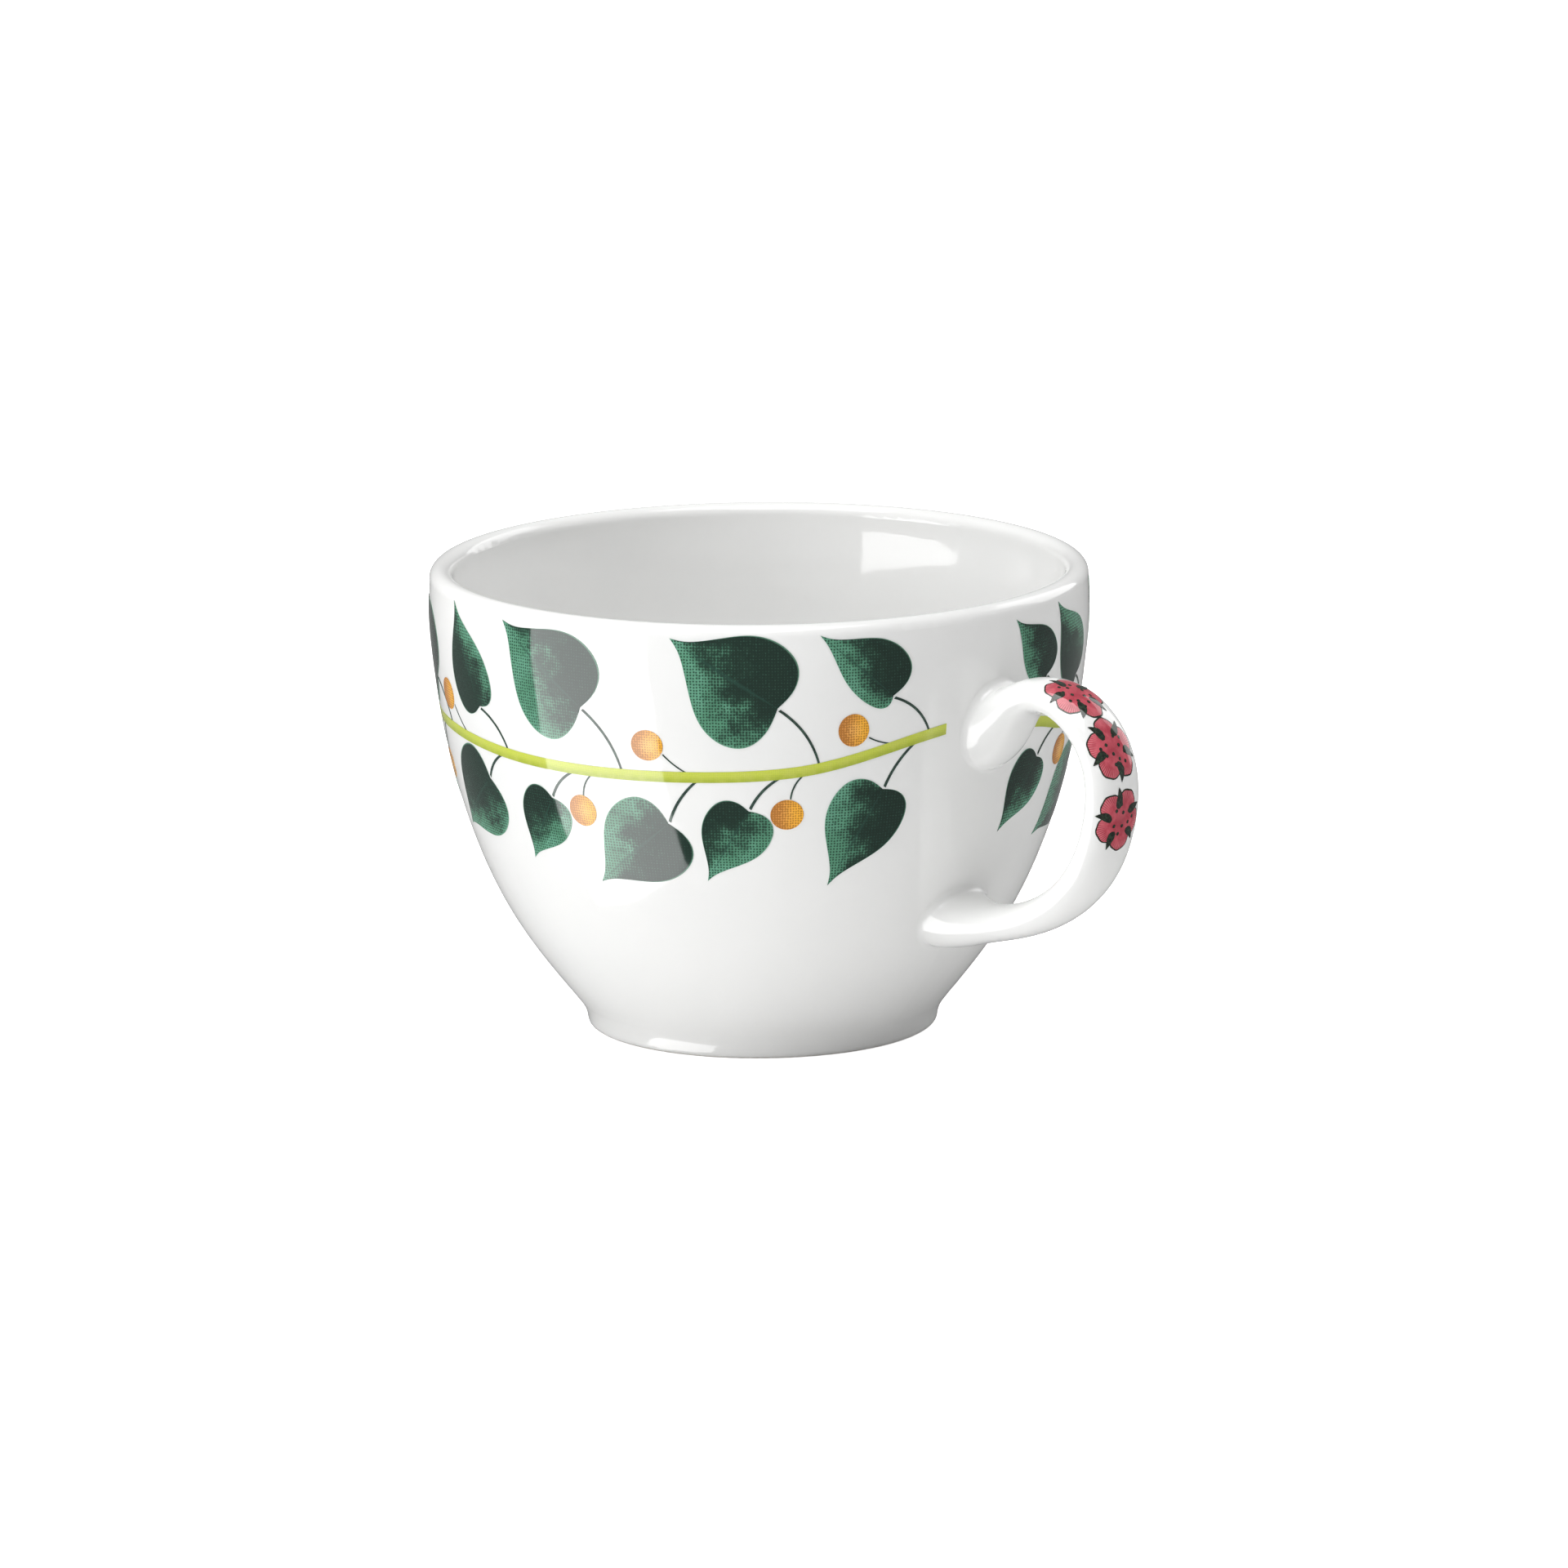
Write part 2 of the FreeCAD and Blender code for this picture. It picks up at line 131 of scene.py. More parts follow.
# ------------------------------------------------------------------ small shop tools
def use(piece):
    """Makes a piece the only one selected."""
    bpy.ops.object.select_all(action="DESELECT")
    piece.select_set(True)
    bpy.context.view_layer.objects.active = piece


def edit(piece, *, faces=True):
    """Opens a piece in edit mode with everything selected."""
    use(piece)
    bpy.ops.object.mode_set(mode="EDIT")
    bpy.ops.mesh.select_mode(type="FACE" if faces else "VERT")
    bpy.ops.mesh.select_all(action="SELECT")


def leave():
    """Back to object mode."""
    bpy.ops.object.mode_set(mode="OBJECT")


def grid_sheet(name, along, across):
    """A flat strip of small squares, 0 to 1 along X and -1 to 1 along Y."""
    bpy.ops.mesh.primitive_grid_add(x_subdivisions=along, y_subdivisions=across, size=2)
    sheet = bpy.context.object
    sheet.name = name
    edit(sheet)
    bpy.ops.transform.resize(value=(0.5, 1, 1), center_override=(-1, 0, 0))
    bpy.ops.transform.translate(value=(1, 0, 0))
    leave()
    return sheet


def ringed_disc(name, sides, rings):
    """A flat round disc, 1 in radius, inset ring by ring and closed at its middle."""
    bpy.ops.mesh.primitive_circle_add(vertices=sides, radius=1, fill_type="NGON")
    disc = bpy.context.object
    disc.name = name
    edit(disc)
    for _ in range(rings):
        bpy.ops.mesh.inset(thickness=0.96 / (rings + 1))
    bpy.ops.mesh.poke()
    leave()
    return disc


def twin(piece, name):
    """A copy of a piece with its own mesh."""
    copy = piece.copy()
    copy.data = piece.data.copy()
    copy.name = name
    scene.collection.objects.link(copy)
    return copy


def note(piece, name, number):
    """Writes one number on every point of a piece, for its material to read."""
    marks = piece.data.attributes.new(name, "FLOAT", "POINT")
    marks.data.foreach_set("value", [number] * len(piece.data.vertices))


def flat_map(piece, name, spot):
    """Gives a piece a UV map from its flat shape."""
    layer = piece.data.uv_layers.new(name=name)
    for loop in piece.data.loops:
        layer.data[loop.index].uv = spot(piece.data.vertices[loop.vertex_index].co)


def wrap_on_bowl(piece, turn, rise, radius, lift):
    """Lays a flat piece, in millimetres, on the bowl about a turn and a rise."""
    flat_map(piece, "sheet", lambda co: (math.radians(turn) * 45 + co.x, rise + co.y))
    for vertex in piece.data.vertices:
        reach, level, out = wall_at(rise + vertex.co.y)
        angle = math.radians(turn) + vertex.co.x / radius
        reach += out.x * lift
        vertex.co = Vector((reach * math.cos(angle), reach * math.sin(angle),
                            level + out.y * lift)) * MM


def one_piece(parts, name, material, node):
    """Joins laid prints into the piece that stands for a node, and gives it its film."""
    use(parts[0])
    for part in parts:
        part.select_set(True)
    bpy.ops.object.join()
    piece = parts[0]
    piece.name = name
    edit(piece, faces=False)
    bpy.ops.mesh.remove_doubles(threshold=WELD * MM)
    leave()
    if material:
        piece.data.materials.clear()
        piece.data.materials.append(material)
    film = piece.modifiers.new("film", "SOLIDIFY")
    film.thickness = FILM * MM
    film.offset = -1
    bpy.ops.object.modifier_apply(modifier="film")
    bpy.ops.object.shade_smooth_by_angle(angle=math.radians(40))
    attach(piece, "root")
    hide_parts(node)


# ------------------------------------------------------------------ node building blocks
class Nodes:
    """Short ways to add and join nodes in one tree."""

    def __init__(self, tree):
        self.tree = tree

    def add(self, kind, *sources, **settings):
        node = self.tree.nodes.new(kind)
        for name, value in settings.items():
            setattr(node, name, value)
        for number, source in enumerate(sources):
            self.put(source, node.inputs[number])
        return node

    def put(self, source, socket):
        if isinstance(source, bpy.types.NodeSocket):
            self.tree.links.new(source, socket)
        else:
            socket.default_value = source

    def math(self, job, *values, clamp=False):
        return self.add("ShaderNodeMath", *values, operation=job, use_clamp=clamp).outputs[0]

    def ramp(self, value, low, high, to_low=0.0, to_high=1.0):
        node = self.add("ShaderNodeMapRange", value, low, high, to_low, to_high)
        node.interpolation_type = "SMOOTHSTEP"
        return node.outputs[0]

    def mix(self, share, first, second, blend="MIX"):
        node = self.add("ShaderNodeMix", data_type="RGBA", blend_type=blend)
        self.put(share, node.inputs[0])
        self.put(first, node.inputs[6])
        self.put(second, node.inputs[7])
        return node.outputs[2]

    def noise(self, vector, scale, detail=2.0, rough=0.5):
        node = self.add("ShaderNodeTexNoise")
        self.put(vector, node.inputs["Vector"])
        node.inputs["Scale"].default_value = scale
        node.inputs["Detail"].default_value = detail
        node.inputs["Roughness"].default_value = rough
        return node.outputs["Fac"]

    def group(self, tree, **values):
        node = self.add("ShaderNodeGroup", node_tree=tree)
        for name, value in values.items():
            self.put(value, node.inputs[name])
        return node.outputs


def new_group(name, inputs, outputs):
    """An empty node group with named sockets, its input and output nodes."""
    tree = bpy.data.node_groups.new(name, "ShaderNodeTree")
    for label, kind, value in inputs:
        socket = tree.interface.new_socket(name=label, in_out="INPUT", socket_type=kind)
        if value is not None:
            socket.default_value = value
    for label, kind in outputs:
        tree.interface.new_socket(name=label, in_out="OUTPUT", socket_type=kind)
    build = Nodes(tree)
    return tree, build, build.add("NodeGroupInput").outputs, build.add("NodeGroupOutput").inputs


FLOAT, VECTOR = "NodeSocketFloat", "NodeSocketVector"

# Fired glaze: slow waviness, faint clouding, and pools and thin places in its gloss.
fired_glaze, b, i, o = new_group(
    "fired glaze", [("Place", VECTOR, None)],
    [("Cloud", FLOAT), ("Roughness", FLOAT), ("Height", FLOAT)])
slow = b.noise(i["Place"], 45.0, 2.0)
fine = b.noise(i["Place"], 420.0, 3.0)
b.put(b.ramp(b.noise(i["Place"], 28.0, 3.0), 0.3, 0.7), o["Cloud"])
b.put(b.ramp(fine, 0.25, 0.8, 0.045, 0.085), o["Roughness"])
b.put(b.math("MULTIPLY_ADD", fine, 0.05, slow), o["Height"])

# Dot screen of the transfer: small soft dots on a slightly uneven square grid.
dot_screen, b, i, o = new_group(
    "dot screen", [("Sheet", VECTOR, None), ("Pitch", FLOAT, 0.28), ("Cover", FLOAT, 0.5)],
    [("Dots", FLOAT)])
cells = b.add("ShaderNodeTexVoronoi", voronoi_dimensions="2D")
b.put(i["Sheet"], cells.inputs["Vector"])
b.put(b.math("DIVIDE", 1.0, i["Pitch"]), cells.inputs["Scale"])
cells.inputs["Randomness"].default_value = 0.22
size = b.math("MULTIPLY", b.math("SQRT", i["Cover"]), 0.72)
gap = b.math("SUBTRACT", size, cells.outputs["Distance"])
b.put(b.ramp(gap, -0.1, 0.1), o["Dots"])


def finish(name):
    """A new glossy fired finish: its nodes, its shader and its glaze outputs."""
    made = bpy.data.materials.new(name)
    made.use_nodes = True
    build = Nodes(made.node_tree)
    shader = made.node_tree.nodes["Principled BSDF"]
    shader.inputs["IOR"].default_value = 1.52
    place = build.add("ShaderNodeTexCoord").outputs["Object"]
    glaze = build.group(fired_glaze, Place=place)
    bump = build.add("ShaderNodeBump")
    bump.inputs["Strength"].default_value = 0.35
    bump.inputs["Distance"].default_value = 0.00006
    build.put(glaze["Height"], bump.inputs["Height"])
    build.put(bump.outputs[0], shader.inputs["Normal"])
    build.put(glaze["Roughness"], shader.inputs["Roughness"])
    return made, build, shader, place, glaze


def own_map(build, name):
    return build.add("ShaderNodeUVMap", uv_map=name).outputs[0]


def own_number(build, name):
    return build.add("ShaderNodeAttribute", attribute_name=name).outputs["Fac"]


# ------------------------------------------------------------------ finishes
white_glaze, b, shader, place, glaze = finish("white glaze")
cloud = b.mix(glaze["Cloud"], (0.800, 0.803, 0.795, 1), (0.830, 0.830, 0.820, 1))
height = b.add("ShaderNodeSeparateXYZ", place).outputs["Z"]
bare = b.ramp(height, 0.00012, 0.00045, 1.0, 0.0)
grain = b.noise(place, 2600.0, 3.0, 0.7)
biscuit = b.mix(grain, (0.60, 0.575, 0.53, 1), (0.74, 0.72, 0.68, 1))
b.put(b.mix(bare, cloud, biscuit), shader.inputs["Base Color"])
b.put(b.math("MAXIMUM", glaze["Roughness"], b.math("MULTIPLY", bare, 0.62)),
      shader.inputs["Roughness"])

leaf_enamel, b, shader = finish("leaf enamel")[:3]
sheet = own_map(b, "sheet")
split = b.add("ShaderNodeSeparateXYZ", own_map(b, "leaf")).outputs
tone, lit = own_number(b, "tone"), own_number(b, "lit_side")
brush = b.noise(sheet, 0.33, 3.0, 0.6)
side = b.math("MULTIPLY", b.math("SUBTRACT", split["Y"], 0.5), lit)
# Light falls on one half of a leaf and towards its tip.
light = b.math("MULTIPLY_ADD", side, 1.0, b.math("MULTIPLY", split["X"], 1.1))
light = b.math("ADD", light, b.math("MULTIPLY_ADD", brush, 1.3, -0.88))
light = b.math("ADD", light, b.math("MULTIPLY_ADD", tone, 0.3, -0.15))
light = b.ramp(light, -0.1, 0.75)
colour = b.mix(light, (0.024, 0.070, 0.050, 1), (0.092, 0.270, 0.168, 1))
glow = b.ramp(b.math("MULTIPLY", light, b.noise(sheet, 0.22, 2.0)), 0.38, 0.62)
colour = b.mix(b.math("MULTIPLY", glow, 0.55), colour, (0.150, 0.390, 0.270, 1))
cover = b.ramp(light, 0.0, 1.0, 0.72, 0.2)
dots = b.group(dot_screen, Sheet=sheet, Pitch=0.42, Cover=cover)["Dots"]
colour = b.mix(b.math("MULTIPLY", dots, 0.82), colour, (0.008, 0.018, 0.013, 1))
edge = b.math("ABSOLUTE", b.math("SUBTRACT", split["Y"], 0.5))
rib = b.ramp(edge, 0.0, 0.03, 0.6, 0.0)
colour = b.mix(rib, colour, (0.020, 0.062, 0.045, 1))
rim = b.math("MULTIPLY", b.ramp(edge, 0.482, 0.499), 0.55)
colour = b.mix(rim, colour, (0.200, 0.440, 0.300, 1))
b.put(colour, shader.inputs["Base Color"])

lime_enamel, b, shader = finish("lime enamel")[:3]
sheet = own_map(b, "sheet")
split = b.add("ShaderNodeSeparateXYZ", own_map(b, "strip")).outputs
streak = b.noise(sheet, 0.55, 3.0, 0.6)
colour = b.mix(b.ramp(split["Y"], 0.05, 0.75), (0.370, 0.440, 0.046, 1), (0.550, 0.620, 0.080, 1))
colour = b.mix(b.ramp(streak, 0.35, 0.75, 0.0, 0.55), colour, (0.560, 0.590, 0.120, 1))
dots = b.group(dot_screen, Sheet=sheet, Pitch=0.26, Cover=0.25)["Dots"]
colour = b.mix(b.math("MULTIPLY", dots, 0.22), colour, (0.200, 0.250, 0.040, 1))
b.put(colour, shader.inputs["Base Color"])

stalk_enamel, b, shader = finish("stalk enamel")[:3]
sheet = own_map(b, "sheet")
dots = b.group(dot_screen, Sheet=sheet, Pitch=0.24, Cover=0.55)["Dots"]
worn = b.ramp(b.noise(sheet, 0.8, 2.0), 0.35, 0.7)
colour = b.mix(worn, (0.034, 0.066, 0.052, 1), (0.085, 0.150, 0.115, 1))
colour = b.mix(b.math("MULTIPLY", dots, 0.6), colour, (0.020, 0.030, 0.025, 1))
b.put(colour, shader.inputs["Base Color"])

berry_enamel, b, shader = finish("berry enamel")[:3]
sheet, disc = own_map(b, "sheet"), own_map(b, "disc")
tone = own_number(b, "tone")
out = b.add("ShaderNodeVectorMath", disc, operation="LENGTH").outputs["Value"]
split = b.add("ShaderNodeSeparateXYZ", disc).outputs
colour = b.mix(b.ramp(split["X"], -0.7, 0.8), (0.760, 0.330, 0.075, 1), (0.900, 0.450, 0.045, 1))
pale = b.math("MULTIPLY", b.ramp(out, 0.15, 0.75, 1.0, 0.0), tone)
colour = b.mix(b.math("MULTIPLY", pale, 0.45), colour, (0.900, 0.600, 0.240, 1))
cover = b.math("ADD", b.ramp(split["X"], -0.8, 0.6, 0.55, 0.2), b.ramp(out, 0.5, 1.0, 0.0, 0.1))
cover = b.math("SUBTRACT", cover, b.math("MULTIPLY", pale, 0.25), clamp=True)
dots = b.group(dot_screen, Sheet=sheet, Pitch=0.36, Cover=cover)["Dots"]
colour = b.mix(b.math("MULTIPLY", dots, 0.7), colour, (0.280, 0.100, 0.020, 1))
b.put(colour, shader.inputs["Base Color"])

rose_enamel, b, shader = finish("rose enamel")[:3]
disc = own_map(b, "disc")
out = b.add("ShaderNodeVectorMath", disc, operation="LENGTH").outputs["Value"]
split = b.add("ShaderNodeSeparateXYZ", disc).outputs
angle = b.math("ARCTAN2", split["Y"], split["X"])
hatch = b.math("SINE", b.math("MULTIPLY", angle, 75.0))
hatch = b.math("MULTIPLY", b.ramp(hatch, 0.1, 0.8), b.ramp(out, 0.55, 0.9))
cloudy = b.noise(disc, 2.4, 3.0, 0.6)
colour = b.mix(b.ramp(cloudy, 0.35, 0.68), (0.400, 0.046, 0.070, 1), (0.560, 0.100, 0.130, 1))
colour = b.mix(b.ramp(out, 0.0, 0.5, 0.55, 0.0), colour, (0.330, 0.040, 0.060, 1))
colour = b.mix(b.math("MULTIPLY", hatch, 0.45), colour, (0.760, 0.340, 0.360, 1))
b.put(colour, shader.inputs["Base Color"])

ink_enamel, b, shader = finish("ink enamel")[:3]
ink = b.noise(own_map(b, "disc"), 9.0, 3.0)
colour = b.mix(b.ramp(ink, 0.4, 0.7), (0.012, 0.016, 0.012, 1), (0.030, 0.050, 0.030, 1))
b.put(colour, shader.inputs["Base Color"])

# ------------------------------------------------------------------ glazed bowl, handle and joints
for name in ("cup_bowl", "handle", "upper_slip_joint", "lower_slip_joint"):
    for slot in NODES[name].material_slots:
        slot.material = white_glaze

# ------------------------------------------------------------------ leaves
# One side of a leaf from stalk to tip: share of the length, share of the side's width.
HEART = [
    (0.0, 0.0), (-0.03, 0.42), (0.05, 0.85), (0.22, 1.0), (0.43, 0.92), (0.62, 0.62),
    (0.79, 0.27), (0.91, 0.08), (1.0, 0.0),
]
# Turn and rise of the stalk end, heading of the tip in degrees, length, the widths of
# the left and right sides, and the side that catches the light.
UPPER_LEAVES = [
    (-103.8, 55.4, 114, 15.2, 5.6, 4.8, -1), (-78.0, 58.2, 143, 17.5, 8.4, 7.7, 1),
    (-42.6, 59.3, 147, 17.6, 8.6, 7.7, 1), (-22.3, 60.2, 139, 13.8, 3.2, 5.8, 1),
    (14.1, 59.0, 131, 12.0, 3.4, 4.8, 1), (28.6, 56.9, 126, 14.6, 5.0, 5.4, -1),
    (58.0, 58.6, 144, 17.5, 8.4, 7.6, 1), (82.0, 55.6, 120, 14.6, 5.6, 4.8, -1),
    (111.0, 58.8, 147, 17.5, 8.4, 7.6, 1), (131.0, 59.0, 136, 13.6, 3.4, 5.4, 1),
    (164.0, 58.9, 145, 17.5, 8.4, 7.6, 1), (186.0, 55.4, 118, 14.6, 5.6, 4.8, -1),
    (207.0, 58.8, 139, 13.6, 3.2, 5.6, 1), (235.0, 56.6, 144, 17.4, 7.6, 7.4, 1),
]
LOWER_LEAVES = [
    (-104.2, 44.9, 216, 16.0, 6.8, 6.8, 1), (-86.6, 44.2, 238, 11.9, 4.4, 4.4, 1),
    (-62.6, 42.2, 221, 15.3, 6.6, 6.6, -1), (-47.8, 44.4, 241, 12.4, 4.8, 4.7, 1),
    (-23.4, 46.8, 244, 15.8, 5.2, 5.8, -1), (14.0, 47.2, 237, 11.9, 4.4, 4.4, 1),
    (37.0, 42.8, 214, 14.8, 6.3, 6.3, -1), (54.0, 44.2, 241, 11.9, 4.4, 4.4, 1),
    (79.0, 42.2, 221, 14.8, 6.3, 6.3, -1), (95.0, 44.2, 239, 11.9, 4.4, 4.4, 1),
    (119.0, 45.5, 244, 15.0, 4.8, 5.0, -1), (138.0, 44.6, 241, 11.9, 4.4, 4.4, 1),
    (162.0, 43.0, 218, 14.8, 6.3, 6.3, 1), (178.0, 45.4, 241, 11.9, 4.4, 4.4, 1),
    (204.0, 46.0, 244, 15.0, 4.8, 5.0, -1), (225.0, 44.2, 241, 11.9, 4.4, 4.4, 1),
]
heart_marks = chord_marks([(along * 2, aside) for along, aside in HEART])
heart_marks = [mark / heart_marks[-1] for mark in heart_marks]
heart_line = smooth_line(heart_marks, HEART)

pattern_leaf = grid_sheet("pattern_leaf", 40, 16)
flat_map(pattern_leaf, "leaf", lambda co: (co.x, co.y / 2 + 0.5))


def lay_leaf(number, turn, rise, heading, length, left, right, lit):
    """One leaf cut to its own size from the pattern and laid on the bowl."""
    leaf = twin(pattern_leaf, "leaf")
    swing = math.radians(heading)
    for vertex in leaf.data.vertices:
        mark, side = vertex.co.x, vertex.co.y
        along, aside = heart_line(mark)
        width = left if side > 0 else right
        ahead = length * (mark + (along - mark) * abs(side))
        over = width * aside * side
        vertex.co = (ahead * math.cos(swing) - over * math.sin(swing),
                     ahead * math.sin(swing) + over * math.cos(swing), 0)
    note(leaf, "tone", (number * 0.618) % 1)
    note(leaf, "lit_side", lit)
    radius = wall_at(rise + length * math.sin(swing) / 2)[0]
    wrap_on_bowl(leaf, turn, rise, radius, LIFT["leaf"])
    return leaf


for name, rows, node in (("upper_leaves", UPPER_LEAVES, "upper_leaf_prints"),
                         ("lower_leaves", LOWER_LEAVES, "lower_leaf_prints")):
    laid = [lay_leaf(number, *row) for number, row in enumerate(rows)]
    one_piece(laid, name, leaf_enamel, node)
bpy.data.objects.remove(pattern_leaf)

# ------------------------------------------------------------------ branch
# Its middle line, (turn, rise), from just past the handle all the way round.
BRANCH = [
    (9.0, 52.9), (14.0, 52.3), (20.0, 51.2), (34.0, 49.9), (55.0, 49.2), (80.0, 49.6),
    (105.0, 50.8), (130.0, 51.4), (155.0, 50.4), (180.0, 49.4), (205.0, 49.6),
    (230.0, 50.6), (244.0, 50.4), (264.0, 49.5), (284.0, 49.1), (304.0, 49.3),
    (314.0, 49.6), (324.0, 50.4), (334.0, 52.1), (344.0, 53.9), (348.5, 54.5),
]
BRANCH_HALF = 0.78
BRANCH_RADIUS = 45.4
branch_line = smooth_line([turn for turn, rise in BRANCH], [(rise,) for turn, rise in BRANCH])
branch = grid_sheet("branch", 340, 4)
flat_map(branch, "strip", lambda co: (co.x, co.y / 2 + 0.5))
for vertex in branch.data.vertices:
    turn = BRANCH[0][0] + vertex.co.x * (BRANCH[-1][0] - BRANCH[0][0])
    vertex.co = (math.radians(turn) * BRANCH_RADIUS,
                 branch_line(turn)[0] + vertex.co.y * BRANCH_HALF, 0)
wrap_on_bowl(branch, 0, 0, BRANCH_RADIUS, LIFT["branch"])
one_piece([branch], "branch", lime_enamel, "branch_print")

# ------------------------------------------------------------------ stalks
UPPER_BERRIES = [
    (-117.5, 55.2), (-65.6, 53.6), (-29.3, 55.7), (70.5, 53.6), (124.0, 55.7),
    (176.0, 53.6), (200.0, 55.7),
]
LOWER_BERRIES = [
    (-79.8, 43.0), (-40.9, 43.8), (24.2, 46.7), (61.0, 43.2), (102.0, 43.6),
    (145.0, 43.4), (185.0, 44.0), (232.5, 43.6),
]
pattern_stalk = grid_sheet("pattern_stalk", 14, 2)


def lay_stalk(turn, rise, reach, bow, start_half, end_half):
    """A stalk bowed from a leaf or berry to the branch, reaching round some degrees."""
    stalk = twin(pattern_stalk, "stalk")
    radius = wall_at(rise)[0]
    target = branch_line((turn + reach) % 360)[0]
    target += 0.6 * BRANCH_HALF if rise > target else -0.6 * BRANCH_HALF
    far = Vector((math.radians(reach) * radius, target - rise))
    square = Vector((-far.y, far.x)).normalized()
    for vertex in stalk.data.vertices:
        share = vertex.co.x
        half = start_half + (end_half - start_half) * share
        spot = far * share + square * (4 * bow * share * (1 - share) + half * vertex.co.y)
        vertex.co = (spot.x, spot.y, 0)
    wrap_on_bowl(stalk, turn, rise, radius, LIFT["stalk"])
    return stalk


stalks = [lay_stalk(leaf[0] + 0.3, leaf[1] - 0.3, 7.0, 0.9, 0.2, 0.17) for leaf in UPPER_LEAVES]
stalks += [lay_stalk(leaf[0] + 0.3, leaf[1] + 0.3, 5.5, 0.5, 0.21, 0.18) for leaf in LOWER_LEAVES]
stalks += [lay_stalk(turn + 2.8, rise - 1.2, 4.5, -0.2, 0.1, 0.1) for turn, rise in UPPER_BERRIES]
stalks += [lay_stalk(turn + 0.6, rise + 2.3, 2.4, 0.4, 0.12, 0.12) for turn, rise in LOWER_BERRIES]
one_piece(stalks, "stalks", stalk_enamel, "stalk_prints")
bpy.data.objects.remove(pattern_stalk)

# ------------------------------------------------------------------ berries
BERRY = 2.25
pattern_berry = ringed_disc("pattern_berry", 36, 4)
flat_map(pattern_berry, "disc", lambda co: (co.x, co.y))


def lay_berry(number, turn, rise):
    """One berry, a little wider than it is high or the other way round."""
    berry = twin(pattern_berry, "berry")
    squash = 1 + 0.035 * math.sin(number * 2.4)
    for vertex in berry.data.vertices:
        vertex.co = (vertex.co.x * BERRY * squash, vertex.co.y * BERRY / squash, 0)
    note(berry, "tone", (0.15 + number * 0.618) % 1)
    wrap_on_bowl(berry, turn, rise, wall_at(rise)[0], LIFT["berry"])
    return berry


berries = [lay_berry(number, *row) for number, row in enumerate(UPPER_BERRIES + LOWER_BERRIES)]
one_piece(berries, "berries", berry_enamel, "berry_prints")
bpy.data.objects.remove(pattern_berry)

# ------------------------------------------------------------------ flowers on the handle
# Spine reach and level at each flower's middle, and its own turn in degrees.
FLOWERS = [(59.9, 53.2, 20), (65.4, 47.7, 55), (66.4, 39.3, 100)]
FLOWER = 3.9
RIPPLE = 0.012  # unevenness of the petals' edge, as a share of the radius
SPECKS, SPECK = 12, 0.23  # speckles on a flower and their radius
ASIDE = 0.8  # how far the middles sit round towards the front


def petal_reach(angle):
    """Edge of a plain five-petalled flower, as a share of its radius."""
    return 0.72 + 0.28 * abs(math.cos(2.5 * angle)) ** 0.7


def wrap_on_handle(piece, middle, lift):
    """Lays a flat piece, in millimetres, on the handle about a place on its spine."""
    table = []
    for vertex in piece.data.vertices:
        reach, level, heading, thick, width = spine_line(middle + vertex.co.y)
        slope, angle, gone = math.radians(heading), 0.0, 0.0
        aim = abs(vertex.co.x + ASIDE)
        while gone < aim:
            gone += math.hypot(thick / 2 * math.sin(angle), width / 2 * math.cos(angle)) * 0.01
            angle += 0.01
        angle = math.copysign(angle, vertex.co.x + ASIDE)
        outward = Vector((-math.sin(slope), 0, math.cos(slope)))
        table.append((Vector((reach, 0, level)) + outward * thick / 2 * math.cos(angle)
                      + Vector((0, -1, 0)) * width / 2 * math.sin(angle)) * MM)
    for vertex, spot in zip(piece.data.vertices, table):
        vertex.co = spot
    use(piece)
    hug = piece.modifiers.new("hug", "SHRINKWRAP")
    hug.target = NODES["handle"]
    hug.wrap_method = "NEAREST_SURFACEPOINT"
    hug.wrap_mode = "ABOVE_SURFACE"
    hug.offset = lift * MM
    bpy.ops.object.modifier_apply(modifier="hug")


def spine_mark(reach, level):
    """Place along the spine nearest to a point."""
    steps = [spine_marks[-1] * share / 400 for share in range(401)]
    return min(steps, key=lambda mark: math.dist(spine_line(mark)[:2], (reach, level)))


pattern_bloom = ringed_disc("pattern_bloom", 100, 7)
pattern_dot = ringed_disc("pattern_dot", 12, 1)
pattern_sepal = grid_sheet("pattern_sepal", 14, 4)


def lay(pattern, spot, middle, lift, material):
    """A copy of a flat pattern, moved point by point, then laid on the handle."""
    piece = twin(pattern, "bloom_part")
    for vertex in piece.data.vertices:
        vertex.co = spot(vertex.co)
    flat_map(piece, "disc", lambda co: (co.x / FLOWER, co.y / FLOWER))
    wrap_on_handle(piece, middle, lift)
    piece.data.materials.clear()
    piece.data.materials.append(material)
    return piece


